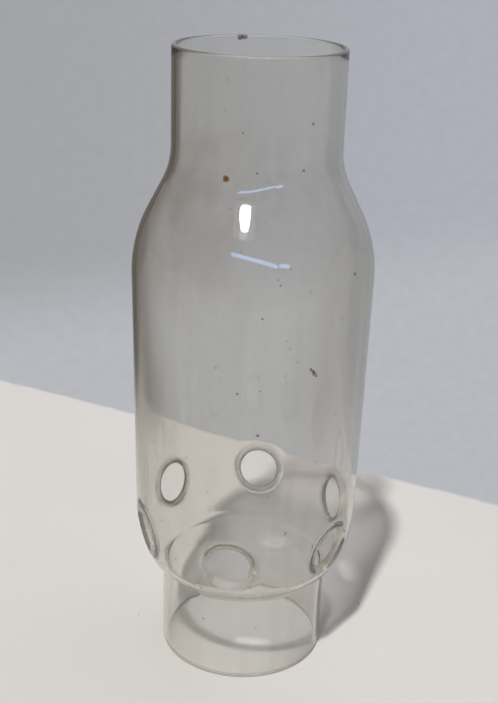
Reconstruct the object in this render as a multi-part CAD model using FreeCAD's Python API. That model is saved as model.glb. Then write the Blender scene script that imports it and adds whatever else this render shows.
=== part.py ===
import FreeCAD, Part
import math
import os

# Glass chimney of a small oil lamp, blown and drawn in one piece: a straight collar that drops into
# the burner's ring, a bowl pierced with air holes, a barrel that widens a little upwards, a sloping
# shoulder and a straight neck.
# Millimetres. The origin is on the axis of the glass at its foot, and +Z runs up that axis.

# Driving dimensions: diameters are outside diameters
COLLAR_DIAMETER = 47.6
COLLAR_LENGTH = 25.6
BARREL_FOOT_DIAMETER = 63.4
BARREL_HEAD_DIAMETER = 65.4
BARREL_LENGTH = 68.5
NECK_DIAMETER = 44.8
NECK_LENGTH = 25.3
WALL = 1.3

# Bowl, between collar and barrel: a tight root, then a lower and an upper arc
BOWL_ROOT_RADIUS = 2.0
BOWL_LOWER_RADIUS = 9.5
BOWL_UPPER_RADIUS = 38.0
BOWL_UPPER_SHARE = 0.375

# Shoulder, between barrel and neck: a crown arc, a straight slope and a throat arc
SHOULDER_CROWN_RADIUS = 38.0
SHOULDER_SLOPE_LENGTH = 7.9
SHOULDER_THROAT_RADIUS = 21.0

# Ground flat under the foot
FOOT_LAND = 0.5

# Air holes: each is pierced from outside, square to the bowl, and its edge is drawn inwards and
# fire-polished to a round bead, which stands a little proud of the bowl's outer face
AIR_HOLE_COUNT = 6
AIR_HOLE_DIAMETER = 12.4
AIR_HOLE_LEAN = 9.4
AIR_HOLE_BEAD = 2.6
AIR_HOLE_BEAD_RISE = 0.2

# The first air hole faces the front, which is -Y
FRONT_AZIMUTH = -90.0

UP = FreeCAD.Vector(0, 0, 1)
ORIGIN = FreeCAD.Vector(0, 0, 0)


def outward(lean):
    """Unit vector square to a wall that leans out from the upright by this angle, in the XZ plane."""
    return FreeCAD.Vector(math.cos(lean), 0, -math.sin(lean))


def along(lean):
    """Unit vector up a wall that leans out from the upright by this angle, in the XZ plane."""
    return FreeCAD.Vector(math.sin(lean), 0, math.cos(lean))


class WallLine:
    """One face of the wall in the XZ plane, drawn upwards as straight runs and tangent arcs."""

    def __init__(self, start, lean):
        self.point = start
        self.lean = lean
        self.edges = []

    def run(self, length):
        """Goes straight on for a length."""
        end = self.point + along(self.lean) * length
        self.edges.append(Part.LineSegment(self.point, end).toShape())
        self.point = end

    def bend(self, radius, lean):
        """Turns to a new lean on an arc, whose centre is outside where the wall flares out."""
        side = radius if lean > self.lean else -radius
        centre = self.point + outward(self.lean) * side
        middle = centre - outward((self.lean + lean) / 2) * side
        end = centre - outward(lean) * side
        self.edges.append(Part.Arc(self.point, middle, end).toShape())
        self.point = end
        self.lean = lean


def barrel_lean():
    """How far the barrel's wall leans out, from its two diameters and its length."""
    return math.atan((BARREL_HEAD_DIAMETER - BARREL_FOOT_DIAMETER) / 2 / BARREL_LENGTH)


def bowl_step(root_lean):
    """How far the bowl's three arcs lead out from the collar when the root turns to this lean."""
    upper_lean = barrel_lean() + (root_lean - barrel_lean()) * BOWL_UPPER_SHARE
    root = BOWL_ROOT_RADIUS * (1 - math.cos(root_lean))
    lower = BOWL_LOWER_RADIUS * (math.cos(upper_lean) - math.cos(root_lean))
    upper = BOWL_UPPER_RADIUS * (math.cos(barrel_lean()) - math.cos(upper_lean))
    return root + lower + upper


def bowl_leans():
    """The wall's lean at the root and where the bowl's lower arc meets its upper arc.

    The root's lean is halved down to the one whose arcs lead from the collar to the barrel.
    """
    step = (BARREL_FOOT_DIAMETER - COLLAR_DIAMETER) / 2
    low = barrel_lean()
    high = math.pi / 2
    while high - low > 1e-12:
        middle = (low + high) / 2
        if bowl_step(middle) < step:
            low = middle
        else:
            high = middle
    return low, barrel_lean() + (low - barrel_lean()) * BOWL_UPPER_SHARE


def shoulder_lean():
    """The shoulder's lean, negative because it slopes in, that leads from the barrel to the neck."""
    step = (BARREL_HEAD_DIAMETER - NECK_DIAMETER) / 2
    arcs = SHOULDER_CROWN_RADIUS + SHOULDER_THROAT_RADIUS
    level = SHOULDER_CROWN_RADIUS * math.cos(barrel_lean()) + SHOULDER_THROAT_RADIUS
    reach = math.hypot(arcs, SHOULDER_SLOPE_LENGTH)
    return -math.atan2(arcs, SHOULDER_SLOPE_LENGTH) - math.asin((step - level) / reach)


def wall_line(inset):
    """The face of the wall that lies this far inside the outer face, from foot to rim.

    Args:
        inset: 0 for the outer face, the wall's thickness for the inner one.

    Returns:
        The line, and the middle of the upper bowl arc, which the air holes are pierced from.
    """
    root_lean, upper_lean = bowl_leans()
    foot_round = (WALL - FOOT_LAND) / 2
    line = WallLine(FreeCAD.Vector(COLLAR_DIAMETER / 2 - inset, 0, foot_round), 0.0)
    line.run(COLLAR_LENGTH - foot_round)
    line.bend(BOWL_ROOT_RADIUS + inset, root_lean)
    line.bend(BOWL_LOWER_RADIUS - inset, upper_lean)
    bowl_centre = line.point - outward(upper_lean) * (BOWL_UPPER_RADIUS - inset)
    line.bend(BOWL_UPPER_RADIUS - inset, barrel_lean())
    line.run(math.hypot(BARREL_LENGTH, (BARREL_HEAD_DIAMETER - BARREL_FOOT_DIAMETER) / 2))
    line.bend(SHOULDER_CROWN_RADIUS - inset, shoulder_lean())
    line.run(SHOULDER_SLOPE_LENGTH)
    line.bend(SHOULDER_THROAT_RADIUS + inset, 0.0)
    line.run(NECK_LENGTH - WALL / 2)
    return line, bowl_centre


def blown_wall():
    """The wall turned round the axis, with a ground foot and a fire-polished rim."""
    outer, _ = wall_line(0.0)
    inner, _ = wall_line(WALL)
    rim_top = (outer.point + inner.point) / 2 + UP * (WALL / 2)
    rim = Part.Arc(outer.point, rim_top, inner.point).toShape()

    foot_round = (WALL - FOOT_LAND) / 2
    slant = foot_round * math.sqrt(0.5)
    outer_foot = outer.edges[0].Vertexes[0].Point
    inner_foot = inner.edges[0].Vertexes[0].Point
    outer_land = outer_foot + FreeCAD.Vector(-foot_round, 0, -foot_round)
    inner_land = inner_foot + FreeCAD.Vector(foot_round, 0, -foot_round)
    outer_middle = outer_foot + FreeCAD.Vector(slant - foot_round, 0, -slant)
    inner_middle = inner_foot + FreeCAD.Vector(foot_round - slant, 0, -slant)
    foot = [
        Part.Arc(outer_foot, outer_middle, outer_land).toShape(),
        Part.LineSegment(outer_land, inner_land).toShape(),
        Part.Arc(inner_land, inner_middle, inner_foot).toShape(),
    ]
    section = Part.Wire(Part.__sortEdges__(outer.edges + [rim] + inner.edges + foot))
    return Part.Face(section).revolve(ORIGIN, UP, 360)


def sagitta(radius, half_chord):
    """How far an arc of this radius falls away from its tangent over half a chord."""
    return radius - math.sqrt(radius**2 - half_chord**2)


def air_hole():
    """The plug that pierces the wall, and the bead round the mouth, of a hole that faces +X.

    The bead lies flat, set back from the bowl's tangent by the mean fall of the bowl round it.
    """
    lean = math.radians(AIR_HOLE_LEAN)
    axis = outward(lean)
    _, bowl_centre = wall_line(0.0)
    face_point = bowl_centre + axis * BOWL_UPPER_RADIUS
    bead_radius = (AIR_HOLE_DIAMETER + AIR_HOLE_BEAD) / 2
    round_fall = sagitta(face_point.x / math.cos(lean), bead_radius)
    upright_fall = sagitta(BOWL_UPPER_RADIUS, bead_radius)
    depth = AIR_HOLE_BEAD / 2 - AIR_HOLE_BEAD_RISE + (round_fall + upright_fall) / 2
    seat = face_point - axis * depth
    reach = 2 * AIR_HOLE_BEAD
    plug = Part.makeCylinder(bead_radius, 2 * reach, seat - axis * reach, axis)
    bead = Part.makeTorus(bead_radius, AIR_HOLE_BEAD / 2, seat, axis)
    return plug, bead


def round_the_axis(shape):
    """Copies of a shape, turned evenly round the axis, the first at the front."""
    copies = []
    for index in range(AIR_HOLE_COUNT):
        copy = shape.copy()
        copy.rotate(ORIGIN, UP, FRONT_AZIMUTH + index * 360 / AIR_HOLE_COUNT)
        copies.append(copy)
    return copies


def glass_chimney():
    """The whole glass: the wall, pierced, with a bead melted into it round each hole."""
    plug, bead = air_hole()
    pierced = blown_wall().cut(round_the_axis(plug))
    return pierced.fuse(round_the_axis(bead)).removeSplitter()


os.makedirs("parts", exist_ok=True)
chimney = glass_chimney().Solids[0]
chimney.exportStep("parts/glass_chimney.step")
print("glass_chimney", chimney.isValid(), round(chimney.Volume, 1), chimney.BoundBox)
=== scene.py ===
"""Clear glass chimney of a small oil lamp, blown in one piece, standing on pale paper.

Sizes are in millimetres while a mesh is drawn flat, and in metres once it is rolled up.
"""

import logging
import math
from collections.abc import Callable
from dataclasses import dataclass, field
from enum import Enum
from itertools import accumulate
from typing import Any, TypeAlias

import bmesh
import bpy
from mathutils import Matrix, Vector, noise


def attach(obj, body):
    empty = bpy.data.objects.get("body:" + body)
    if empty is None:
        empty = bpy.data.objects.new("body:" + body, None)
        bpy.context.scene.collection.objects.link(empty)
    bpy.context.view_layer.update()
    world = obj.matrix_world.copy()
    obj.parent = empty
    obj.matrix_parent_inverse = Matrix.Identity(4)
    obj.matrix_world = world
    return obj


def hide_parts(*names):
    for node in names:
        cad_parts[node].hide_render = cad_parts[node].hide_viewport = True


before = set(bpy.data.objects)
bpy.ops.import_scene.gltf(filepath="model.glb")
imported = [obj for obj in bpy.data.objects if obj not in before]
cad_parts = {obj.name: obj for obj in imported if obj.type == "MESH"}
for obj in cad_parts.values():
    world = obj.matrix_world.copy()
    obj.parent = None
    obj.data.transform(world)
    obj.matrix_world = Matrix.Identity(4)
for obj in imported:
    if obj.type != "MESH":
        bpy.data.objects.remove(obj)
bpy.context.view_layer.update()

log = logging.getLogger("glass_chimney")

MM = 0.001
NODE = "glass_chimney"
BODY = "root"
PHOTO_WIDTH = 498
PHOTO_HEIGHT = 703

# Two points that are closer than this, in millimetres, are one, and so are two leans, in radians
SAME_PLACE = 1e-4
SAME_LEAN = 1e-9

# A sixth of the glass, with one air hole in it, and the way that the first hole faces
SECTOR = math.radians(60)
FRONT = math.radians(-90)

# Degrees from the front, towards the right, that the camera stands at
CAMERA_AZIMUTH = 7.73

Colour: TypeAlias = tuple[float, float, float]
Span: TypeAlias = tuple[float, float]
Socket: TypeAlias = bpy.types.NodeSocket
Operand: TypeAlias = "Sock | float"

BLACK: Colour = (0.0, 0.0, 0.0)
EVEN: Colour = (1.0, 1.0, 1.0)
TUBE_BLUE: Colour = (0.32, 0.58, 1.0)


class Ray(Enum):
    """The kinds of ray that a material can tell apart."""

    CAMERA = "Is Camera Ray"
    SHADOW = "Is Shadow Ray"
    GLOSSY = "Is Glossy Ray"
    TRANSMISSION = "Is Transmission Ray"


class Mark(Enum):
    """What a single mark on the glass is made of."""

    BROWN_DROP = "brown_drop"
    SOOT = "soot"


class Outline(Enum):
    """The outline of a lamp panel."""

    STRAIGHT = "RECTANGLE"
    ROUND = "ELLIPSE"


def toward(azimuth: float, elevation: float = 0.0) -> Vector:
    """Unit vector from the glass towards a place in the room.

    Args:
        azimuth: Degrees from the front, which is -Y, towards the right, which is +X.
        elevation: Degrees above the horizon.

    Returns:
        The unit vector.
    """
    side = math.radians(azimuth)
    rise = math.radians(elevation)
    return Vector((
        math.sin(side) * math.cos(rise),
        -math.cos(side) * math.cos(rise),
        math.sin(rise),
    ))


def only(geom: list[Any], kind: type) -> list[Any]:
    """The parts of one kind among those that a bmesh operator gives back."""
    return [part for part in geom if isinstance(part, kind)]


def halved(low: float, high: float, near: float, short: Callable[[float], bool]) -> float:
    """Halves its way down to where a test turns from true to false.

    Args:
        low: A value that the test is true for.
        high: A value that it is false for.
        near: How close the two have to come.
        short: The test.

    Returns:
        The highest value found that the test is true for.
    """
    while high - low > near:
        middle = (low + high) / 2
        if short(middle):
            low = middle
        else:
            high = middle
    return low


def finished(bm: bmesh.types.BMesh, name: str) -> bpy.types.Object:
    """Makes a bmesh an object of the scene.

    Args:
        bm: The mesh, which is freed.
        name: The object's name.

    Returns:
        The object, at the origin.
    """
    mesh = bpy.data.meshes.new(name)
    bm.to_mesh(mesh)
    bm.free()
    made = bpy.data.objects.new(name, mesh)
    bpy.context.collection.objects.link(made)
    return made


class Sock:
    """A node's output that takes part in Python arithmetic, which adds Math nodes."""

    def __init__(self, graph: "Graph", socket: Socket) -> None:
        """Wraps one output socket of a graph."""
        self.graph = graph
        self.socket = socket

    def math(self, operation: str, *others: Operand, clamp: bool = False) -> "Sock":
        """Adds a Math node that starts from this value.

        Args:
            operation: The Math node's operation.
            others: Its second and third values.
            clamp: Whether the result is kept between 0 and 1.

        Returns:
            The result.
        """
        settings = {"operation": operation, "use_clamp": clamp}
        inputs = dict(enumerate((self, *others)))
        return self.graph.value("ShaderNodeMath", settings, inputs)

    def __add__(self, other: Operand) -> "Sock":
        """Sum of two values."""
        return self.math("ADD", other)

    __radd__ = __add__

    def __sub__(self, other: Operand) -> "Sock":
        """Difference of two values."""
        return self.math("SUBTRACT", other)

    def __rsub__(self, other: float) -> "Sock":
        """A number less this value."""
        return (self * -1.0) + other

    def __mul__(self, other: Operand) -> "Sock":
        """Product of two values."""
        return self.math("MULTIPLY", other)

    __rmul__ = __mul__

    def __truediv__(self, other: Operand) -> "Sock":
        """Quotient of two values."""
        return self.math("DIVIDE", other)

    def __rtruediv__(self, other: float) -> "Sock":
        """A number divided by this value."""
        return (self**-1.0) * other

    def __pow__(self, power: float) -> "Sock":
        """A power of this value."""
        return self.math("POWER", power)

    def clamped(self) -> "Sock":
        """This value, kept between 0 and 1."""
        return self.math("ADD", 0.0, clamp=True)

    def fade(self, start: float, end: float, low: float = 0.0, high: float = 1.0) -> "Sock":
        """Eases from one value to another while this one goes from start to end.

        Args:
            start: Where the change begins.
            end: Where it is complete, which may be the smaller of the two.
            low: The result at start.
            high: The result at end.

        Returns:
            The eased value.
        """
        if start > end:
            start, end, low, high = end, start, high, low
        inputs = {"Value": self, 1: start, 2: end, 3: low, 4: high}
        return self.graph.value("ShaderNodeMapRange", {"interpolation_type": "SMOOTHSTEP"}, inputs)


class Graph:
    """A material's or world's node tree, built by one method."""

    def __init__(self, tree: bpy.types.NodeTree) -> None:
        """Starts from an empty tree."""
        tree.nodes.clear()
        self.tree = tree

    def add(
        self,
        kind: str,
        settings: dict[str, Any] | None = None,
        inputs: dict[str | int, Any] | None = None,
    ) -> bpy.types.Node:
        """Adds any node.

        Args:
            kind: The node's type.
            settings: Properties, which are set first.
            inputs: A value, a colour or an output for each socket that isn't left as it is.

        Returns:
            The node.
        """
        node = self.tree.nodes.new(kind)
        for name, setting in (settings or {}).items():
            setattr(node, name, setting)
        for name, source in (inputs or {}).items():
            socket = node.inputs[name]
            if isinstance(source, Sock):
                source = source.socket
            if isinstance(source, bpy.types.NodeSocket):
                self.tree.links.new(source, socket)
            elif isinstance(source, tuple) and socket.type == "RGBA":
                socket.default_value = (*source, 1.0)
            else:
                socket.default_value = source
        return node

    def value(
        self,
        kind: str,
        settings: dict[str, Any] | None = None,
        inputs: dict[str | int, Any] | None = None,
        output: str | int = 0,
    ) -> Sock:
        """Adds any node and wraps one of its outputs."""
        return Sock(self, self.add(kind, settings, inputs).outputs[output])

    def shader(self, kind: str, inputs: dict[str | int, Any]) -> Socket:
        """Adds a shader's node and gives its output."""
        return self.add(kind, inputs=inputs).outputs[0]

    def ray(self, ray: Ray) -> Sock:
        """1 for rays of one kind, and 0 for the others."""
        return self.value("ShaderNodeLightPath", output=ray.value)

    def place(self) -> Socket:
        """Object coordinates, in millimetres."""
        inputs = {"Vector": self.add("ShaderNodeTexCoord").outputs["Object"], "Scale": 1 / MM}
        return self.add("ShaderNodeVectorMath", {"operation": "SCALE"}, inputs).outputs[0]

    def parts(self, vector: Socket) -> tuple[Sock, Sock, Sock]:
        """The three parts of a vector."""
        outputs = self.add("ShaderNodeSeparateXYZ", inputs={0: vector}).outputs
        return Sock(self, outputs[0]), Sock(self, outputs[1]), Sock(self, outputs[2])

    def along(self, vector: Socket, way: Vector) -> Sock:
        """How far a vector goes along a way."""
        inputs = {0: vector, 1: tuple(way)}
        return self.value("ShaderNodeVectorMath", {"operation": "DOT_PRODUCT"}, inputs, "Value")

    def mixed(self, factor: Operand, first: Any, second: Any) -> Socket:
        """A colour between two colours."""
        inputs = {"Factor": factor, 6: first, 7: second}
        return self.add("ShaderNodeMix", {"data_type": "RGBA"}, inputs).outputs[2]

    def blend(self, factor: Operand, first: Any, second: Any) -> Socket:
        """A shader between two shaders."""
        return self.shader("ShaderNodeMixShader", {0: factor, 1: first, 2: second})


@dataclass(frozen=True)
class Cloud:
    """Soft noise round 0.5.

    The size is about how far apart its clouds are, the detail is how many finer layers it has, and the
    stretch is how much finer it is along each axis.
    """

    size: float
    detail: float
    stretch: Colour = EVEN

    def at(self, graph: Graph, place: Socket) -> Sock:
        """Adds the noise to a graph.

        Args:
            graph: The nodes.
            place: Coordinates, in the same unit as the size.

        Returns:
            The noise at that place.
        """
        inputs = {"Vector": place, "Scale": tuple(part / self.size for part in self.stretch)}
        scaled = graph.add("ShaderNodeMapping", inputs=inputs).outputs[0]
        inputs = {"Vector": scaled, "Scale": 1.0, "Detail": self.detail}
        return graph.value("ShaderNodeTexNoise", inputs=inputs)


@dataclass(frozen=True)
class Patches:
    """Patches of a cloud, and the span of its noise over which bare turns to covered."""

    cloud: Cloud
    span: Span

    def at(self, graph: Graph, place: Socket) -> Sock:
        """How far a place is covered, from 0 to 1."""
        return self.cloud.at(graph, place).fade(*self.span)


@dataclass(frozen=True)
class Stretch:
    """A straight run or an arc of the wall's outer line, in radius and height."""

    start: Vector
    lean: float
    length: float
    turn: float

    def at(self, run: float) -> tuple[Vector, float]:
        """A place along the stretch.

        Args:
            run: Distance from its start, which may lie beyond a straight stretch.

        Returns:
            Radius and height, and how far the wall leans out there.
        """
        lean = self.lean + self.turn * run / self.length
        if self.turn == 0:
            return self.start + Vector((math.sin(lean), math.cos(lean))) * run, lean
        out = math.cos(self.lean) - math.cos(lean)
        up = math.sin(lean) - math.sin(self.lean)
        return self.start + Vector((out, up)) * (self.length / self.turn), lean


@dataclass(frozen=True)
class ChimneyWall:
    """The blown wall: collar, bowl, barrel, shoulder and neck, as its outer line."""

    collar_diameter: float = 47.6
    collar_length: float = 25.6
    barrel_foot_diameter: float = 63.4
    barrel_head_diameter: float = 65.4
    barrel_length: float = 68.5
    neck_diameter: float = 44.8
    neck_length: float = 25.3
    thickness: float = 1.3
    bowl_root_radius: float = 2.0
    bowl_lower_radius: float = 9.5
    bowl_upper_radius: float = 38.0
    bowl_upper_share: float = 0.375
    crown_radius: float = 38.0
    slope_length: float = 7.9
    throat_radius: float = 21.0
    foot_land: float = 0.5
    stretches: list[Stretch] = field(init=False, default_factory=list)

    def __post_init__(self) -> None:
        """Draws the outer line from the foot to the rim."""
        root = self.root_lean()
        self.run(self.collar_length - self.foot_round)
        self.bend(self.bowl_root_radius, root)
        self.bend(self.bowl_lower_radius, self.upper_lean(root))
        self.bend(self.bowl_upper_radius, self.barrel_lean())
        self.run(math.hypot(self.barrel_length, self.barrel_step))
        self.bend(self.crown_radius, self.shoulder_lean())
        self.run(self.slope_length)
        self.bend(self.throat_radius, 0.0)
        self.run(self.neck_length - self.thickness / 2)

    @property
    def foot_round(self) -> float:
        """Radius of the two rounds beside the ground flat of the foot."""
        return (self.thickness - self.foot_land) / 2

    @property
    def barrel_step(self) -> float:
        """How much further out the barrel's head is than its foot."""
        return (self.barrel_head_diameter - self.barrel_foot_diameter) / 2

    def barrel_lean(self) -> float:
        """How far the barrel's wall leans out."""
        return math.atan(self.barrel_step / self.barrel_length)

    def upper_lean(self, root: float) -> float:
        """The lean where the bowl's lower arc meets its upper arc."""
        return self.barrel_lean() + (root - self.barrel_lean()) * self.bowl_upper_share

    def bowl_step(self, root: float) -> float:
        """How far the bowl's arcs lead out from the collar.

        Args:
            root: The lean that the bowl's root turns to.

        Returns:
            The distance out.
        """
        barrel = math.cos(self.barrel_lean())
        upper = math.cos(self.upper_lean(root))
        out = self.bowl_root_radius * (1 - math.cos(root))
        out += self.bowl_lower_radius * (upper - math.cos(root))
        return out + self.bowl_upper_radius * (barrel - upper)

    def root_lean(self) -> float:
        """The lean at the bowl's root that leads from collar to barrel."""
        step = (self.barrel_foot_diameter - self.collar_diameter) / 2
        return halved(self.barrel_lean(), math.pi / 2, SAME_LEAN, lambda lean: self.bowl_step(lean) < step)

    def shoulder_lean(self) -> float:
        """The shoulder's lean that leads from barrel to neck.

        Returns:
            The lean, negative because the shoulder slopes in.
        """
        step = (self.barrel_head_diameter - self.neck_diameter) / 2
        arcs = self.crown_radius + self.throat_radius
        level = self.crown_radius * math.cos(self.barrel_lean()) + self.throat_radius
        reach = math.hypot(arcs, self.slope_length)
        return -math.atan2(arcs, self.slope_length) - math.asin((step - level) / reach)

    def tip(self) -> tuple[Vector, float]:
        """Where the line drawn so far ends.

        Returns:
            Radius and height, and the lean there.
        """
        if not self.stretches:
            return Vector((self.collar_diameter / 2, self.foot_round)), 0.0
        last = self.stretches[-1]
        return last.at(last.length)

    def run(self, length: float) -> None:
        """Draws the line straight on."""
        start, lean = self.tip()
        self.stretches.append(Stretch(start, lean, length, 0.0))

    def bend(self, radius: float, lean: float) -> None:
        """Draws an arc that turns the line to a new lean."""
        start, now = self.tip()
        self.stretches.append(Stretch(start, now, radius * abs(lean - now), lean - now))

    def ends(self) -> list[float]:
        """How far along the line each stretch ends, from the collar's to the neck's."""
        return list(accumulate(stretch.length for stretch in self.stretches))

    def at(self, run: float) -> tuple[Vector, float]:
        """A place along the whole line, which goes straight on past both ends.

        Args:
            run: Distance along the outer face from the top of the foot's round.

        Returns:
            Radius and height, and how far the wall leans out there.
        """
        for stretch in self.stretches[:-1]:
            if run <= stretch.length:
                return stretch.at(run)
            run -= stretch.length
        return self.stretches[-1].at(run)

    def bowl_run(self, lean: float) -> float:
        """How far along the line the bowl's upper arc has a lean.

        Args:
            lean: The lean, in degrees.

        Returns:
            The distance.
        """
        _, _, _, arc, *_ = self.stretches
        _, _, below, *_ = self.ends()
        return below + (math.radians(lean) - arc.lean) / arc.turn * arc.length

    def on_face(self, azimuth: float, height: float) -> Vector:
        """The point of the outer face at an azimuth from the front, in degrees, and a height."""
        found = halved(0.0, self.ends()[-1], SAME_PLACE, lambda run: self.at(run)[0].y < height)
        return toward(azimuth) * self.at(found)[0].x + Vector((0, 0, height))


@dataclass(frozen=True)
class AirHole:
    """An air hole whose edge is drawn inwards and melted to a round lip."""

    count: int = 6
    diameter: float = 12.4
    lean: float = 9.4
    turn_in: float = 1.7
    lip_round: float = 0.75
    inner_melt: float = 1.5
    patch: float = 24.0
    patch_cells: int = 24
    turn_steps: int = 9
    lip_steps: int = 10
    melt_steps: int = 5

    @property
    def turn_circle(self) -> float:
        """Radius of the circle where the outer face starts to turn in."""
        return self.diameter / 2 + self.turn_in

    @property
    def lip_circle(self) -> float:
        """Radius of the circle that the lip's middle follows."""
        return self.diameter / 2 + self.lip_round

    def inner_drop(self, wall: float) -> float:
        """How much deeper than the lip's middle the middle of the inner melt lies."""
        return wall + self.inner_melt - self.turn_in

    def inner_reach(self, wall: float) -> float:
        """How far out from the lip's middle its melt ends on the inner face."""
        return math.sqrt((self.lip_round + self.inner_melt) ** 2 - self.inner_drop(wall) ** 2)

    def mouth(self, wall: float) -> float:
        """Radius of the plain round edge in both faces that the lip is melted to."""
        return max(self.turn_circle, self.lip_circle + self.inner_reach(wall))


class Draft:
    """A line drawn in a bmesh, in the plane of X and Z, by straight runs and arcs."""

    def __init__(self, bm: bmesh.types.BMesh, start: Vector) -> None:
        """Starts with one vertex.

        Args:
            bm: The mesh that the line is drawn in.
            start: Where it starts.
        """
        self.bm = bm
        self.last = bmesh.ops.create_vert(bm, co=start)["vert"][0]
        self.verts = [self.last]

    def run(self, end: Vector) -> None:
        """Draws a straight edge.

        Args:
            end: The point that it leads to.
        """
        new = bmesh.ops.extrude_vert_indiv(self.bm, verts=[self.last])["verts"]
        bmesh.ops.translate(self.bm, verts=new, vec=end - self.last.co)
        self.last = new[0]
        self.verts.append(self.last)

    def bend(self, centre: Vector, angle: float, steps: int) -> None:
        """Draws an arc.

        Args:
            centre: The point that it goes round.
            angle: How far it turns about +Y.
            steps: How many edges it has.
        """
        before = set(self.bm.verts)
        made = bmesh.ops.spin(
            self.bm, geom=[self.last], cent=centre, axis=(0, 1, 0), angle=angle, steps=steps
        )
        self.verts += [vert for vert in self.bm.verts if vert not in before]
        self.last = only(made["geom_last"], bmesh.types.BMVert)[0]

    def edges(self) -> list[bmesh.types.BMEdge]:
        """The edges drawn so far."""
        drawn = set(self.verts)
        return [edge for edge in self.bm.edges if drawn.issuperset(edge.verts)]


@dataclass(frozen=True)
class GlassPlace:
    """Where on the glass a shaded point lies, in millimetres, as values of its material's nodes."""

    graph: Graph
    point: Socket
    side: Sock
    deep: Sock
    height: Sock
    from_hole: Sock
    over_hole: Sock

    @classmethod
    def read(cls, graph: Graph, wall: ChimneyWall, hole: AirHole) -> "GlassPlace":
        """Reads the place from Object coordinates.

        Args:
            graph: The material's nodes.
            wall: The wall that the air holes pierce.
            hole: The air hole.

        Returns:
            The point, its parts, how far it is from the nearest hole's middle and how far above it.
        """
        point = graph.place()
        side, deep, height = graph.parts(point)
        turn = ((deep.math("ARCTAN2", side) - FRONT) / SECTOR).math("WRAP", 0.5, -0.5)
        middle, _ = wall.at(wall.bowl_run(hole.lean))
        across = turn * (SECTOR * middle.x)
        up = height - middle.y
        return cls(graph, point, side, deep, height, (across * across + up * up) ** 0.5, up)


@dataclass(frozen=True)
class Spot:
    """A single mark on the outer face."""

    mark: Mark
    azimuth: float
    height: float
    radius: float


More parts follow.
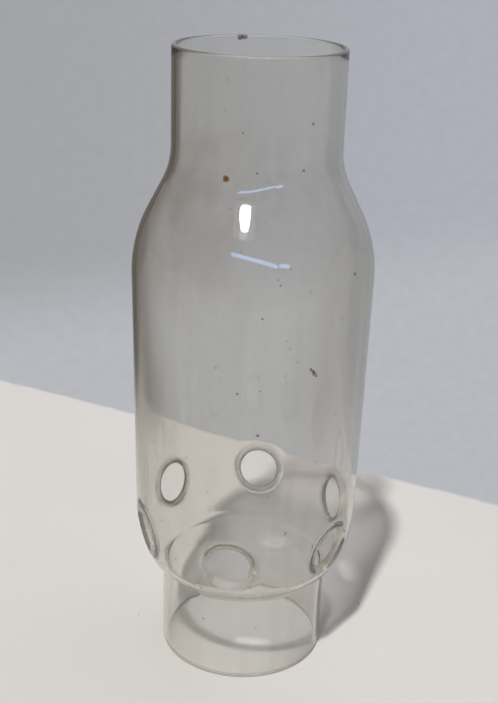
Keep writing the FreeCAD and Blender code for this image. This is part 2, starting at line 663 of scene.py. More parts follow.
@dataclass(frozen=True)
class ClearGlass:
    """Old clear glass: a faint warm tint in its depth, a dusty film, dirt that has settled, a painted
    highlight on the rim and the lips, and a painted shade line over the front of the foot.

    A cover is the share of the glass that a deposit hides, and a span is where on the glass the deposit
    begins and where it is complete.
    """

    ior: float = 1.5
    tint: Colour = (0.962, 0.962, 0.966)
    depth_colour: Colour = (0.62, 0.56, 0.36)
    depth_density: float = 120.0
    cords: Cloud = Cloud(7.0, 2.0, (1.0, 1.0, 0.06))
    cord_bump: float = 0.05
    cord_depth: float = 0.1

    shade_pass: Colour = (0.893, 0.901, 0.933)
    collar_pass: Colour = (0.96, 0.964, 0.975)
    collar_span: Span = (25.0, 17.0)
    facing_mirror: float = 0.04
    mirror_power: float = 5.0

    settled_roughness: float = 0.85
    settled_gloss: float = 0.25
    # The pale tone of the dust, which also paints the highlight on the rim and the lips
    dust: Colour = (0.56, 0.54, 0.51)
    residue: Colour = (0.36, 0.29, 0.25)
    # The brown of the dirt, which also paints the shade line over the front of the foot
    dirt: Colour = (0.17, 0.105, 0.05)
    soot: Colour = (0.035, 0.032, 0.03)
    drop: Colour = (0.15, 0.065, 0.014)

    film_cover: float = 0.006
    haze: Patches = Patches(Cloud(26.0, 4.0, (1.0, 1.0, 0.45)), (0.35, 0.75))
    haze_cover: float = 0.02
    run_marks: Patches = Patches(Cloud(5.0, 3.0, (1.0, 1.0, 0.05)), (0.4, 0.75))
    run_cover: float = 0.035
    # A pale coat on the rim and on the lips of the air holes paints in their highlights
    rim_highlight_span: Span = (173.9, 174.3)
    rim_highlight_cover: float = 0.25
    lip_highlight_cover: float = 0.28
    back_span: Span = (-12.0, 6.0)
    foot_span: Span = (0.45, 0.2)
    foot_cover: float = 0.7
    back_foot_span: Span = (1.1, 0.6)
    back_foot_cover: float = 0.5

    stains: Patches = Patches(Cloud(15.0, 5.0, (1.0, 1.0, 0.7)), (0.38, 0.68))
    stain_rise: Span = (104.0, 134.0)
    stain_fall: Span = (160.0, 140.0)
    stain_side: Span = (14.0, -24.0)
    stain_cover: Span = (0.04, 0.15)
    stain_tone: float = 18.0

    lumps: Patches = Patches(Cloud(7.0, 2.0), (0.38, 0.7))
    lump_span: Span = (7.0, -6.0)
    lump_cover: Span = (0.1, 0.3)
    crease_spread: float = 0.4
    crease_cover: float = 0.03
    # A thin painted shade line over the front of the foot, in the brown of the dirt
    foot_shade_top: Span = (1.0, 0.8)
    foot_shade_low: Span = (0.5, 0.65)
    foot_shade_cover: float = 0.5

    speck_scale: float = 0.27
    speck_edge: Span = (0.085, 0.045)
    speck_choice: Span = (0.68, 0.84)
    speck_cover: float = 0.8
    ragged: Cloud = Cloud(0.9, 2.0)
    ragged_edge: Span = (1.45, 1.1)
    drop_cover: float = 0.92
    soot_cover: float = 0.75
    spots: tuple[Spot, ...] = (
        Spot(Mark.BROWN_DROP, -11.0, 145.3, 1.1),
        Spot(Mark.SOOT, 199.0, 174.0, 1.1),
        Spot(Mark.SOOT, 202.5, 174.0, 1.1),
        Spot(Mark.SOOT, 36.1, 98.9, 0.5),
        Spot(Mark.SOOT, 37.2, 98.2, 0.68),
        Spot(Mark.SOOT, 38.2, 97.5, 0.68),
        Spot(Mark.SOOT, 39.2, 96.8, 0.5),
        Spot(Mark.SOOT, 60.9, 121.5, 0.5),
        Spot(Mark.SOOT, 38.8, 147.4, 0.4),
        Spot(Mark.SOOT, 44.4, 158.6, 0.4),
        Spot(Mark.SOOT, 12.3, 81.5, 0.5),
        Spot(Mark.SOOT, 2.4, 93.1, 0.35),
        Spot(Mark.SOOT, 52.4, 84.3, 0.4),
    )

    def material(self, wall: ChimneyWall, hole: AirHole) -> bpy.types.Material:
        """Makes the glass's material.

        Args:
            wall: The wall that the spots lie on.
            hole: The air hole that dirt has settled round.

        Returns:
            The material.
        """
        made = bpy.data.materials.new("old_clear_glass")
        made.use_nodes = True
        graph = Graph(made.node_tree)
        at = GlassPlace.read(graph, wall, hole)
        coverage, colour = self.deposits_and_painted_light(at, wall, hole)
        inputs = {
            "Base Color": colour,
            "Roughness": self.settled_roughness,
            "Specular IOR Level": self.settled_gloss,
        }
        settled = graph.shader("ShaderNodeBsdfPrincipled", inputs)
        seen = graph.blend(coverage, self.clear(at), settled)
        shaded = graph.blend(graph.ray(Ray.SHADOW), seen, self.shade(at))
        inputs = {"Color": self.depth_colour, "Density": self.depth_density}
        depth = graph.shader("ShaderNodeVolumeAbsorption", inputs)
        graph.add("ShaderNodeOutputMaterial", inputs={"Surface": shaded, "Volume": depth})
        return made

    def clear(self, at: GlassPlace) -> Socket:
        """The glass itself, with the faint upright cords of blown glass in its faces.

        Args:
            at: The place on the glass.

        Returns:
            The shader.
        """
        cords = self.cords.at(at.graph, at.point)
        inputs = {"Height": cords, "Strength": self.cord_bump, "Distance": self.cord_depth * MM}
        normal = at.graph.add("ShaderNodeBump", inputs=inputs).outputs[0]
        inputs = {
            "Base Color": self.tint,
            "Roughness": 0.0,
            "IOR": self.ior,
            "Transmission Weight": 1.0,
            "Normal": normal,
        }
        return at.graph.shader("ShaderNodeBsdfPrincipled", inputs)

    def shade(self, at: GlassPlace) -> Socket:
        """What lamps see: glass that lets most light through, and less where it is edge on.

        Args:
            at: The place on the glass.

        Returns:
            The shader.
        """
        facing = at.graph.value("ShaderNodeLayerWeight", output="Facing")
        upper, collar, stopped = (
            at.graph.shader("ShaderNodeBsdfTransparent", {"Color": colour})
            for colour in (self.shade_pass, self.collar_pass, BLACK)
        )
        through = at.graph.blend(at.height.fade(*self.collar_span), upper, collar)
        mirrored = self.facing_mirror + (1 - self.facing_mirror) * facing**self.mirror_power
        return at.graph.blend(mirrored, through, stopped)

    def deposits_and_painted_light(self, at: GlassPlace, wall: ChimneyWall, hole: AirHole) -> tuple[Sock, Socket]:
        """Where dust, residue, dirt and single marks cover the glass, with the painted highlight on the rim
        and the lips and the painted shade line over the front of the foot.

        Args:
            at: The place on the glass.
            wall: The wall that the spots lie on.
            hole: The air hole that dirt has settled round.

        Returns:
            How much of the glass is covered, and the colour of what covers it.
        """
        graph = at.graph
        back = at.deep.fade(*self.back_span)
        stain = self.stain(at)
        # The dirt's mask also holds the painted shade line over the front of the foot
        dirt = self.dirt_and_foot_shade(at, back, wall, hole)
        specks = self.specks(at)
        colour = graph.mixed((stain * self.stain_tone).clamped(), self.dust, self.residue)
        colour = graph.mixed(dirt.clamped(), colour, self.dirt)
        colour = graph.mixed(specks, colour, self.soot)
        coverage = self.dust_and_painted_highlights(at, back, hole) + stain + dirt + specks * self.speck_cover
        for spot in self.spots:
            is_drop = spot.mark is Mark.BROWN_DROP
            mask = self.spot_mask(at, wall, spot)
            colour = graph.mixed(mask, colour, self.drop if is_drop else self.soot)
            coverage = coverage + mask * (self.drop_cover if is_drop else self.soot_cover)
        return coverage.clamped(), colour

    def dust_and_painted_highlights(self, at: GlassPlace, back: Sock, hole: AirHole) -> Sock:
        """Pale coverage: a dust film with run marks, the ground foot, a paler band over the back of the foot,
        and a painted highlight on the rim and the lips.

        Args:
            at: The place on the glass.
            back: 1 at the back of the glass.
            hole: The air hole whose lip gets the painted highlight.

        Returns:
            How much of the glass it covers.
        """
        film = self.haze.at(at.graph, at.point) * self.haze_cover + self.film_cover
        film = film + self.run_marks.at(at.graph, at.point) * self.run_cover
        foot = at.height.fade(*self.foot_span) * self.foot_cover
        foot = foot + back * at.height.fade(*self.back_foot_span) * self.back_foot_cover
        # Painted highlight: a pale coat on the rim and on the lips of the air holes
        painted_highlight = at.height.fade(*self.rim_highlight_span) * self.rim_highlight_cover
        painted_highlight = painted_highlight + at.from_hole.fade(hole.turn_circle, hole.lip_circle) * self.lip_highlight_cover
        return film + foot + painted_highlight

    def stain(self, at: GlassPlace) -> Sock:
        """Brownish residue on the shoulder, heavier to the left.

        Args:
            at: The place on the glass.

        Returns:
            How much of the glass it covers.
        """
        shoulder = at.height.fade(*self.stain_rise) * at.height.fade(*self.stain_fall)
        cover = at.side.fade(*self.stain_side, *self.stain_cover)
        return self.stains.at(at.graph, at.point) * shoulder * cover

    def dirt_and_foot_shade(self, at: GlassPlace, back: Sock, wall: ChimneyWall, hole: AirHole) -> Sock:
        """Brown dirt in the crease round each air hole, and a thin painted shade line in the same brown over
        the front of the foot.

        Args:
            at: The place on the glass.
            back: 1 at the back of the glass.
            wall: The wall that the hole pierces.
            hole: The air hole.

        Returns:
            How much of the glass it covers.
        """
        crease = at.from_hole.fade(hole.mouth(wall.thickness) + self.crease_spread, hole.turn_circle)
        lumps = self.lumps.at(at.graph, at.point) * at.over_hole.fade(*self.lump_span, *self.lump_cover)
        # Painted shade: a thin dark line over the front of the foot, left off at the back
        line = at.height.fade(*self.foot_shade_top) * at.height.fade(*self.foot_shade_low)
        return crease * (lumps + self.crease_cover) + line * (1.0 - back) * self.foot_shade_cover

    def specks(self, at: GlassPlace) -> Sock:
        """Small dark specks scattered over the glass.

        Args:
            at: The place on the glass.

        Returns:
            1 on a speck.
        """
        inputs = {"Vector": at.point, "Scale": self.speck_scale}
        cells = at.graph.add("ShaderNodeTexVoronoi", inputs=inputs).outputs
        chosen = at.graph.value("ShaderNodeSeparateColor", inputs={0: cells["Color"]})
        near = Sock(at.graph, cells["Distance"]).fade(*self.speck_edge)
        return near * chosen.fade(*self.speck_choice)

    def spot_mask(self, at: GlassPlace, wall: ChimneyWall, spot: Spot) -> Sock:
        """A single mark, ragged at its edge.

        Args:
            at: The place on the glass.
            wall: The wall that the mark lies on.
            spot: The mark.

        Returns:
            1 on the mark.
        """
        inputs = {0: at.point, 1: tuple(wall.on_face(spot.azimuth, spot.height))}
        distance = at.graph.value("ShaderNodeVectorMath", {"operation": "DISTANCE"}, inputs, "Value")
        ragged = distance + self.ragged.at(at.graph, at.point) * spot.radius
        start, end = self.ragged_edge
        return ragged.fade(spot.radius * start, spot.radius * end)


@dataclass
class GlassChimney:
    """The whole glass, drawn flat a sixth at a time and then rolled up."""

    wall: ChimneyWall = field(default_factory=ChimneyWall)
    hole: AirHole = field(default_factory=AirHole)
    finish: ClearGlass = field(default_factory=ClearGlass)
    columns: int = 32
    mouth_rings: int = 2
    rim_steps: int = 9
    foot_steps: int = 3
    patch_slack: float = 0.5
    uneven: float = 0.03
    cord_share: float = 3.0
    cord_spacing: float = 6.0
    cord_draw: float = 0.07
    face_shift: float = 3.1

    @property
    def middle(self) -> float:
        """How far along the outer face the air holes lie."""
        return self.wall.bowl_run(self.hole.lean)

    @property
    def pitch(self) -> float:
        """Distance between neighbouring air holes, along the wall."""
        return SECTOR * self.wall.at(self.middle)[0].x

    @property
    def patch_width(self) -> float:
        """Width of the patch that is left open for an air hole."""
        return self.pitch / self.columns * self.hole.patch_cells

    def rows(self) -> list[float]:
        """Where the rows of the flat sheet lie, closer together where the wall bends.

        Returns:
            Distances along the outer face, from foot to rim.
        """
        collar, root, _, _, barrel, crown, slope, throat, neck = self.wall.ends()
        low = self.middle - self.hole.patch / 2
        high = self.middle + self.hole.patch / 2
        # Where each band ends, and how many rows it has
        bands = (
            (collar, 12), (root, 8), (low, 4), (high, self.hole.patch_cells), (barrel, 24),
            (crown, 16), (slope, 5), (throat, 12), (neck, 10),
        )
        rows = [0.0]
        for end, count in bands:
            start = rows[-1]
            rows += [start + (end - start) * (step + 1) / count for step in range(count)]
        return rows

    def flat_sheet(self, bm: bmesh.types.BMesh) -> None:
        """Lays out one face of a sixth of the wall, with a square patch left open for the air hole.

        Args:
            bm: The empty mesh.
        """
        rows = self.rows()
        spaces = len(rows) - 1
        # The grid is one unit wide and high, until each row gets its place
        bmesh.ops.create_grid(bm, x_segments=self.columns, y_segments=spaces, size=0.5)
        for vert in bm.verts:
            vert.co.x *= self.pitch
            vert.co.y = rows[round((vert.co.y + 0.5) * spaces)]
        inside = [
            face for face in bm.faces
            if abs(face.calc_center_median().x) < self.patch_width / 2
            and abs(face.calc_center_median().y - self.middle) < self.hole.patch / 2
        ]
        bmesh.ops.delete(bm, geom=inside, context="FACES")

    def open_mouth(self, bm: bmesh.types.BMesh) -> None:
        """Draws the edge of the square patch in to a round mouth.

        Args:
            bm: The flat sheet.
        """
        sides = [
            edge for edge in bm.edges
            if edge.is_boundary and all(self.near_patch(vert.co) for vert in edge.verts)
        ]
        mouth = only(bmesh.ops.extrude_edge_only(bm, edges=sides)["geom"], bmesh.types.BMVert)
        for vert in mouth:
            vert.co = self.on_mouth(vert.co)
        rungs = [edge for vert in mouth for edge in vert.link_edges if edge.other_vert(vert) not in mouth]
        bmesh.ops.subdivide_edges(bm, edges=rungs, cuts=self.mouth_rings)

    def near_patch(self, point: Vector) -> bool:
        """Whether a point lies on the edge of the open patch, and not on the edge of the sheet."""
        reach = self.hole.patch / 2 + self.patch_slack
        return abs(point.x) < reach and abs(point.y - self.middle) < reach

    def on_mouth(self, point: Vector) -> Vector:
        """The point of the round mouth that belongs to a point of the square patch.

        Args:
            point: A point on the patch's edge.

        Returns:
            A point on the circle, evenly spaced.
        """
        across = point.x / self.patch_width
        up = (point.y - self.middle) / self.hole.patch
        if abs(across) >= abs(up):
            angle = math.pi / 4 * up / across + (0 if across > 0 else math.pi)
        else:
            angle = math.copysign(math.pi / 2, up) - math.pi / 4 * across / up
        radius = self.hole.mouth(self.wall.thickness)
        return Vector((radius * math.cos(angle), self.middle + radius * math.sin(angle), 0))

    def line_inside(self, bm: bmesh.types.BMesh) -> None:
        """Copies the sheet, turned over, to the inner face of the wall.

        Args:
            bm: The outer face's sheet.
        """
        copied = bmesh.ops.duplicate(bm, geom=bm.verts[:] + bm.edges[:] + bm.faces[:])["geom"]
        verts = only(copied, bmesh.types.BMVert)
        bmesh.ops.translate(bm, verts=verts, vec=(0, 0, -self.wall.thickness))
        bmesh.ops.reverse_faces(bm, faces=only(copied, bmesh.types.BMFace))

    def melt_lip(self, bm: bmesh.types.BMesh) -> None:
        """Spins the section of the lip round the air hole, from the outer mouth to the inner one.

        Args:
            bm: Both faces' sheets.
        """
        hole = self.hole
        wall = self.wall.thickness
        mouth = hole.mouth(wall)
        at = Vector((0, self.middle, 0))
        turn = at + Vector((hole.turn_circle, 0, -hole.turn_in))
        lip = at + Vector((hole.lip_circle, 0, -hole.turn_in))
        inner = lip + Vector((hole.inner_reach(wall), 0, -hole.inner_drop(wall)))
        melt = math.atan2(hole.inner_reach(wall), hole.inner_drop(wall))
        draft = Draft(bm, at + Vector((mouth, 0, 0)))
        if mouth > turn.x + SAME_PLACE:
            draft.run(Vector((turn.x, at.y, 0)))
        draft.bend(turn, -math.pi / 2, hole.turn_steps)
        draft.bend(lip, -math.pi / 2 - melt, hole.lip_steps)
        draft.bend(inner, melt, hole.melt_steps)
        if mouth > inner.x + SAME_PLACE:
            draft.run(at + Vector((mouth, 0, -wall)))
        bmesh.ops.spin(
            bm, geom=draft.verts + draft.edges(), cent=at, axis=(0, 0, 1),
            angle=math.tau, steps=4 * hole.patch_cells, use_merge=True,
        )

    def round_ends(self, bm: bmesh.types.BMesh) -> None:
        """Rolls the sheet over the fire-polished rim and under the ground foot to the inner face.

        Args:
            bm: Both faces' sheets.
        """
        wall = self.wall.thickness
        foot_round = self.wall.foot_round
        top = self.rows()[-1]
        rim = self.end_edges(bm, top)
        foot = self.end_edges(bm, 0.0)
        self.roll(bm, rim, Vector((0, top, -wall / 2)), -math.pi, self.rim_steps)
        edge = self.roll(bm, foot, Vector((0, 0, -foot_round)), math.pi / 2, self.foot_steps)
        land = bmesh.ops.extrude_edge_only(bm, edges=edge)["geom"]
        verts = only(land, bmesh.types.BMVert)
        bmesh.ops.translate(bm, verts=verts, vec=(0, 0, -self.wall.foot_land))
        edge = [
            part for part in only(land, bmesh.types.BMEdge)
            if all(vert in verts for vert in part.verts)
        ]
        self.roll(bm, edge, Vector((0, 0, foot_round - wall)), math.pi / 2, self.foot_steps)

    def end_edges(self, bm: bmesh.types.BMesh, run: float) -> list[bmesh.types.BMEdge]:
        """The outer face's edges that lie this far along it, at the foot or the rim."""
        ends = {vert for vert in bm.verts if max(abs(vert.co.y - run), abs(vert.co.z)) < SAME_PLACE}
        return [edge for edge in bm.edges if ends.issuperset(edge.verts)]

    def roll(
        self,
        bm: bmesh.types.BMesh,
        edges: list[bmesh.types.BMEdge],
        centre: Vector,
        angle: float,
        steps: int,
    ) -> list[bmesh.types.BMEdge]:
        """Rolls edges about an axis along X.

        Args:
            bm: The mesh that they are in.
            edges: The edges.
            centre: A point of the axis.
            angle: How far they roll.
            steps: How many faces the round has.

        Returns:
            The edges that they end in.
        """
        verts = list({vert for edge in edges for vert in edge.verts})
        made = bmesh.ops.spin(bm, geom=verts + edges, cent=centre, axis=(1, 0, 0), angle=angle, steps=steps)
        return only(made["geom_last"], bmesh.types.BMEdge)

    def repeat(self, bm: bmesh.types.BMesh) -> None:
        """Lays the other sixths beside the first one.

        Args:
            bm: The first sixth.
        """
        first = bm.verts[:] + bm.edges[:] + bm.faces[:]
        for number in range(1, self.hole.count):
            copied = bmesh.ops.duplicate(bm, geom=first)["geom"]
            verts = only(copied, bmesh.types.BMVert)
            bmesh.ops.translate(bm, verts=verts, vec=(self.pitch * number, 0, 0))

    def rolled(self, flat: Vector) -> Vector:
        """Where a point of the flat sheet comes to lie.

        Args:
            flat: Distance along the wall from the front, distance up it, and height over the outer face.

        Returns:
            The point in the part's frame, in metres.
        """
        azimuth = FRONT + flat.x / self.pitch * SECTOR
        middle, lean = self.wall.at(flat.y)
        across = Vector((math.cos(azimuth), math.sin(azimuth), 0))
        depth = self.uneven_depth(across * middle.x + Vector((0, 0, middle.y)), flat.z) - flat.z
        radius = middle.x - depth * math.cos(lean)
        return (across * radius + Vector((0, 0, middle.y + depth * math.sin(lean)))) * MM

    def uneven_depth(self, point: Vector, level: float) -> float:
        """How much deeper than true a face lies, because blown glass is drawn out in upright cords.

        Args:
            point: The point of the true outer face.
            level: Height of the face over the outer one.

        Returns:
            The depth.
        """
        side = point / self.cord_spacing
        cords = noise.noise(Vector((side.x, side.y, side.z * self.cord_draw + level * self.face_shift)))
        return self.uneven * (1 + cords / self.cord_share)

    def build(self) -> bpy.types.Object:
        """Models the glass.

        Returns:
            The finished object, at the origin.
        """
        bm = bmesh.new()
        self.flat_sheet(bm)
        self.open_mouth(bm)
        self.line_inside(bm)
        self.melt_lip(bm)
        self.round_ends(bm)
        self.repeat(bm)
        bmesh.ops.remove_doubles(bm, verts=bm.verts[:], dist=SAME_PLACE)
        for vert in bm.verts:
            vert.co = self.rolled(vert.co)
        bmesh.ops.remove_doubles(bm, verts=bm.verts[:], dist=SAME_PLACE * MM)
        bmesh.ops.recalc_face_normals(bm, faces=bm.faces[:])
        for face in bm.faces:
            face.smooth = True
        open_edges = sum(not edge.is_manifold for edge in bm.edges)
        volume = bm.calc_volume(signed=True) / MM**3
        log.info("glass: %d faces, %d open edges, %.0f cubic millimetres", len(bm.faces), open_edges, volume)
        return finished(bm, "chimney_glass")

    def dress(self, piece: bpy.types.Object) -> None:
        """Gives the glass its finish and its place in the frame.

        Args:
            piece: The finished object.
        """
        piece.data.materials.append(self.finish.material(self.wall, self.hole))
        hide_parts(NODE)
        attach(piece, BODY)
        log.info("piece %s stands for %s on %s", piece.name, NODE, BODY)


@dataclass
class PhotoCamera:
    """The camera, where the photographer held it."""

    distance: float = 296.67
    height: float = 210.97
    pitch: float = 21.90
    heading: float = 7.80
    roll: float = 1.90
    focal_pixels: float = 1152.66
    sensor: float = 36.0
    clip: Span = (1 * MM, 100.0)

    def build(self) -> None:
        """Makes the camera and looks through it."""
        data = bpy.data.cameras.new("photo_camera")
        data.sensor_width = self.sensor
        data.lens = self.sensor * self.focal_pixels / max(PHOTO_WIDTH, PHOTO_HEIGHT)
        data.clip_start, data.clip_end = self.clip
        camera = bpy.data.objects.new("photo_camera", data)
        turn = Matrix.Rotation(math.radians(self.heading), 3, "Z")
        tilt = Matrix.Rotation(math.radians(90 - self.pitch), 3, "X")
        lean = Matrix.Rotation(math.radians(self.roll), 3, "Z")
        place = toward(CAMERA_AZIMUTH) * self.distance + Vector((0, 0, self.height))
        camera.matrix_world = Matrix.Translation(place * MM) @ (turn @ tilt @ lean).to_4x4()
        bpy.context.collection.objects.link(camera)
        bpy.context.scene.camera = camera
        log.info("camera at %.0f mm", place.length)


@dataclass(frozen=True)
class RoomTones:
    """The colours of the paper, of the pale wall beyond it and of the room round the glass."""

    paper: Colour = (0.737, 0.716, 0.694)
    wall_left: Colour = (0.371, 0.378, 0.395)
    wall_right: Colour = (0.425, 0.442, 0.495)
    # The paler tone that paints light on the wall nearer the glass
    wall_glow: Colour = (0.482, 0.495, 0.53)
    room: Colour = (0.235, 0.235, 0.24)
    dark_side: Colour = (0.085, 0.072, 0.056)


@dataclass
class PaperFloor:
    """The paper that the glass stands on, and the pale wall's tone beyond its far edge.

    Side and depth are measured as the camera sees them, from the axis of the glass.
    """

    tones: RoomTones
    half_width: float = 6.0
    gap: float = 0.05

    edge_reach: float = 115.6
    edge_turn: float = 25.8
    edge: Cloud = Cloud(14.0, 4.0)
    edge_blur: float = 3.0
    fibres: Cloud = Cloud(1.6, 5.0)
    fibre_share: float = 0.05
    blotches: Cloud = Cloud(60.0, 3.0)
    blotch_share: float = 0.08
    least_tone: float = 0.93
    crumb_scale: float = 0.055
    crumb_edge: Span = (0.03, 0.015)
    crumb_cover: float = 0.7
    paper_roughness: float = 0.95
    paper_gloss: float = 0.1

    camera_distance: float = 300.0
    camera_height: float = 210.0
    plaster: Patches = Patches(Cloud(0.011, 4.0), (0.2, 0.8))
    plaster_share: float = 0.1
    wall_span: Span = (-0.22, 0.22)
    glow_span: Span = (450.0, 250.0)
    glow_slant: float = 0.5

    flare: float = 0.18
    behind_span: Span = (100.0, 190.0)
    left_span: Span = (-40.0, -110.0)
    left_mirror: float = 0.8
    left_slant: Span = (-0.2, -0.38)
    left_limit: Span = (-1.6, -1.0)
    left_share: float = 0.9
    right_span: Span = (45.0, 110.0)
    right_mirror: float = 0.3
    right_slant: Span = (0.05, 0.26)
    right_limit: Span = (1.6, 1.0)
    right_depth: Span = (1000.0, 450.0)
    right_share: Span = (0.15, 0.42)
    front_span: Span = (-260.0, -480.0)

    def build(self) -> None:
        """Makes the floor."""
        bm = bmesh.new()
        bmesh.ops.create_grid(bm, x_segments=1, y_segments=1, size=self.half_width)
        bmesh.ops.translate(bm, verts=bm.verts[:], vec=(0, 0, -self.gap * MM))
        floor = finished(bm, "floor")
        floor.data.materials.append(self.material())

    def material(self) -> bpy.types.Material:
        """Makes the floor's material.

        Returns:
            Paper up to its far edge, the wall's tone beyond it, and a painted reflection of a darker room
            where the glass mirrors it.
        """
        made = bpy.data.materials.new("pale_paper")
        made.use_nodes = True
        graph = Graph(made.node_tree)
        place = graph.place()
        side = graph.along(place, toward(90 + CAMERA_AZIMUTH))
        deep = graph.along(place, toward(180 + CAMERA_AZIMUTH))
        shown = graph.blend(self.beyond(graph, place), self.sheet(graph, place), self.wall(graph, side, deep))
        # Painted reflection: darker patches of the floor that only the glass's reflections and refractions
        # see
        left, right = self.painted_dark_reflections(graph, side, deep)
        dim = graph.shader("ShaderNodeEmission", {"Color": self.tones.room})
        dark = graph.shader("ShaderNodeEmission", {"Color": self.tones.dark_side})
        whole = graph.blend(left, graph.blend(right, shown, dim), dark)
        graph.add("ShaderNodeOutputMaterial", inputs={"Surface": whole})
        return made

    def beyond(self, graph: Graph, place: Socket) -> Sock:
        """Which side of the paper's ragged far edge a place is on.

        Args:
            graph: The material's nodes.
            place: Object coordinates in millimetres.

        Returns:
            1 beyond the edge.
        """
        reach = graph.along(place, toward(180 + CAMERA_AZIMUTH - self.edge_turn))
        ragged = reach + self.edge.at(graph, place) * self.edge_blur
        return ragged.fade(self.edge_reach, self.edge_reach + self.edge_blur)

    def sheet(self, graph: Graph, place: Socket) -> Socket:
        """The paper, with fibres, faint blotches and a few crumbs.

        Args:
            graph: The material's nodes.
            place: Object coordinates in millimetres.

        Returns:
            The shader.
        """
        fibres = self.fibres.at(graph, place) * self.fibre_share
        blotches = self.blotches.at(graph, place) * self.blotch_share
        tone = (fibres + blotches + self.least_tone).math("MINIMUM", 1.0)
        colour = graph.mixed(tone, BLACK, self.tones.paper)
        crumbs = graph.value("ShaderNodeTexVoronoi", inputs={"Vector": place, "Scale": self.crumb_scale})
        crumbs = crumbs.fade(*self.crumb_edge) * self.crumb_cover
        inputs = {
            "Base Color": graph.mixed(crumbs, colour, self.tones.dark_side),
            "Roughness": self.paper_roughness,
            "Specular IOR Level": self.paper_gloss,
        }
        return graph.shader("ShaderNodeBsdfPrincipled", inputs)

    def wall(self, graph: Graph, side: Sock, deep: Sock) -> Socket:
        """The tone of the wall beyond the paper, with painted light that leaves it darker to the left and
        paler to the right and nearer the glass, and the fine uneven grain of plaster.

        Args:
            graph: The material's nodes.
            side: Distance to the right.
            deep: Distance behind the glass.

        Returns:
            The shader.
        """
        away = deep.math("MAXIMUM", 0.0) + self.camera_distance
        inputs = {0: side / away, 1: self.camera_height / away}
        flat = graph.add("ShaderNodeCombineXYZ", inputs=inputs).outputs[0]
        grain = self.plaster.at(graph, flat) * self.plaster_share
        # Painted light: the wall darker to the left, paler to the right and paler still nearer the glass
        colour = graph.mixed((side / away).fade(*self.wall_span), self.tones.wall_left, self.tones.wall_right)
        near = (deep - side * self.glow_slant).fade(*self.glow_span)
        colour = graph.mixed(near, colour, self.tones.wall_glow)
        return graph.shader("ShaderNodeEmission", {"Color": graph.mixed(grain, colour, self.tones.room)})

    def painted_dark_reflections(self, graph: Graph, side: Sock, deep: Sock) -> tuple[Sock, Sock]:
        """Where the glass mirrors, or shows through its edges, a room that is darker than the floor: a
        painted reflection on the floor.

        Args:
            graph: The material's nodes.
            side: Distance to the right.
            deep: Distance behind the glass.

        Returns:
            How dark the floor shows to the left, and to the right or in front.
        """
        through = graph.ray(Ray.TRANSMISSION)
        mirrored = graph.ray(Ray.GLOSSY) * (1.0 - through)
        behind = deep.fade(*self.behind_span) * through
        slant = side / deep.math("MAXIMUM", 1.0)
        left = (side + deep * self.flare).fade(*self.left_span) * mirrored * self.left_mirror
        seen = slant.fade(*self.left_slant) * slant.fade(*self.left_limit) * behind
        left = left + seen * self.left_share
        right = (side - deep * self.flare).fade(*self.right_span) * mirrored * self.right_mirror
        seen = slant.fade(*self.right_slant) * slant.fade(*self.right_limit) * behind
        right = right + seen * deep.fade(*self.right_depth, *self.right_share)
        front = deep.fade(*self.front_span) * mirrored
        return left, right.math("MAXIMUM", front)


@dataclass
class Room:
    """The room that the glass stands in, pale behind it and to its right, dark to its left."""

    tones: RoomTones
    wall_span: Span = (-0.3, 0.5)
    behind_span: Span = (-0.5, 0.4)
    dark_span: Span = (-0.15, -0.5)

    def build(self) -> None:
        """Makes the world, which camera rays and rays through the glass see as plain wall."""
        world = bpy.data.worlds.new("room")
        bpy.context.scene.world = world
        world.use_nodes = True
        graph = Graph(world.node_tree)
        way = graph.add("ShaderNodeTexCoord").outputs["Generated"]
        side = graph.along(way, toward(90 + CAMERA_AZIMUTH))
        deep = graph.along(way, toward(180 + CAMERA_AZIMUTH))
        wall = graph.mixed(side.fade(*self.wall_span), self.tones.wall_left, self.tones.wall_right)
        colour = graph.mixed(deep.fade(*self.behind_span), self.tones.room, wall)
        colour = graph.mixed(side.fade(*self.dark_span), colour, self.tones.dark_side)
        seen = (graph.ray(Ray.CAMERA) + graph.ray(Ray.TRANSMISSION)).clamped()
        shown = graph.mixed(seen, colour, self.tones.wall_left)
        lit = graph.shader("ShaderNodeBackground", {"Color": shown})
        graph.add("ShaderNodeOutputWorld", inputs={"Surface": lit})
        world.cycles.sampling_method = "NONE"


@dataclass(frozen=True)
class KeyLight:
    """The main light, high over the camera's left shoulder, its azimuth counted from the camera's."""

    azimuth: float = -17.9
    elevation: float = 59.0
    strength: float = 2.56
    width: float = 2.7
    colour: Colour = (1.0, 0.985, 0.955)

    def build(self) -> None:
        """Makes the light, which the glass doesn't mirror."""
        data = bpy.data.lights.new("key", "SUN")
        data.energy = self.strength
        data.color = self.colour
        data.angle = math.radians(self.width)
        lamp = bpy.data.objects.new("key", data)
        way = toward(CAMERA_AZIMUTH + self.azimuth, self.elevation)
        lamp.rotation_mode = "QUATERNION"
        lamp.rotation_quaternion = way.to_track_quat("Z", "Y")
        lamp.visible_transmission = False
        lamp.visible_glossy = False
        bpy.context.collection.objects.link(lamp)


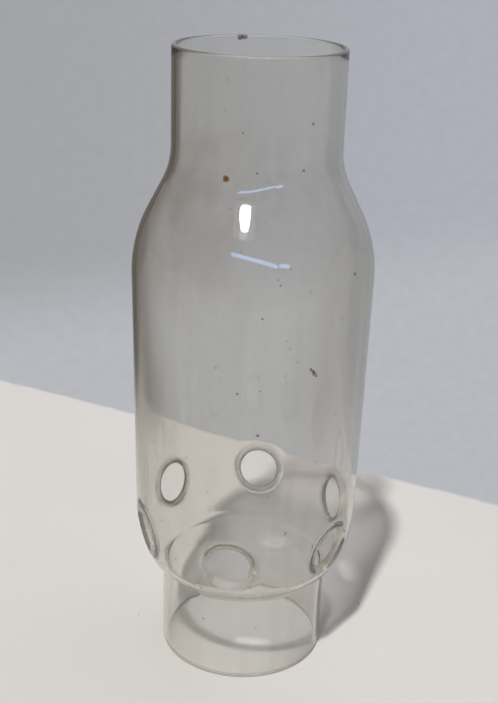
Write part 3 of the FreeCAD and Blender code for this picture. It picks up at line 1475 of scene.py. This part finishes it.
@dataclass(frozen=True)
class Panel:
    """A flat lamp that faces the shoulder of the glass and only shows as a reflection in it.

    Its azimuth is counted from the camera's.
    """

    name: str
    azimuth: float
    elevation: float
    width: float
    height: float
    radiance: float
    colour: Colour = (1.0, 0.99, 0.97)
    roll: float = 0.0
    distance: float = 1.0
    aim: float = 137.0
    outline: Outline = Outline.STRAIGHT

    def build(self) -> None:
        """Makes the lamp."""
        data = bpy.data.lights.new(self.name, "AREA")
        data.shape = self.outline.value
        data.size = self.width
        data.size_y = self.height
        data.energy = self.radiance * math.pi * self.width * self.height
        data.color = self.colour
        lamp = bpy.data.objects.new(self.name, data)
        out = toward(CAMERA_AZIMUTH + self.azimuth, self.elevation)
        turn = Matrix.Rotation(math.radians(self.roll), 3, "Z").to_quaternion()
        lamp.rotation_mode = "QUATERNION"
        lamp.rotation_quaternion = out.to_track_quat("Z", "Y") @ turn
        lamp.location = out * self.distance + Vector((0, 0, self.aim * MM))
        lamp.visible_camera = False
        lamp.visible_diffuse = False
        lamp.visible_transmission = False
        bpy.context.collection.objects.link(lamp)


@dataclass
class Studio:
    """Everything round the glass: the pale floor, the room and the lamps."""

    tones: RoomTones = field(default_factory=RoomTones)
    key: KeyLight = field(default_factory=KeyLight)
    panels: tuple[Panel, ...] = (
        Panel("window", -13.0, 39.7, 0.23, 0.08, 18.0, outline=Outline.ROUND),
        Panel("window_tail", -13.0, 37.0, 0.12, 0.06, 2.0, outline=Outline.ROUND),
        Panel("window_glow", -13.0, 39.0, 0.36, 0.16, 0.8, outline=Outline.ROUND),
        Panel("ceiling", 13.0, 62.0, 0.05, 0.05, 120.0, outline=Outline.ROUND),
        Panel("tube", 1.0, 20.5, 0.79, 0.055, 8.5, TUBE_BLUE, -12.0),
        Panel("tube_end", 29.2, 14.5, 0.17, 0.055, 8.5, TUBE_BLUE, -12.0),
    )

    def build(self) -> None:
        """Makes the floor, the room and the lamps."""
        bpy.context.scene.view_settings.view_transform = "Standard"
        PaperFloor(self.tones).build()
        Room(self.tones).build()
        self.key.build()
        for panel in self.panels:
            panel.build()
        log.info("studio: floor, room, key and %d panels", len(self.panels))


def main() -> None:
    """Builds the glass, then the studio and the camera round it."""
    logging.basicConfig(level=logging.INFO, format="%(name)s: %(message)s")
    chimney = GlassChimney()
    chimney.dress(chimney.build())
    Studio().build()
    PhotoCamera().build()


if __name__ == "__main__":
    main()
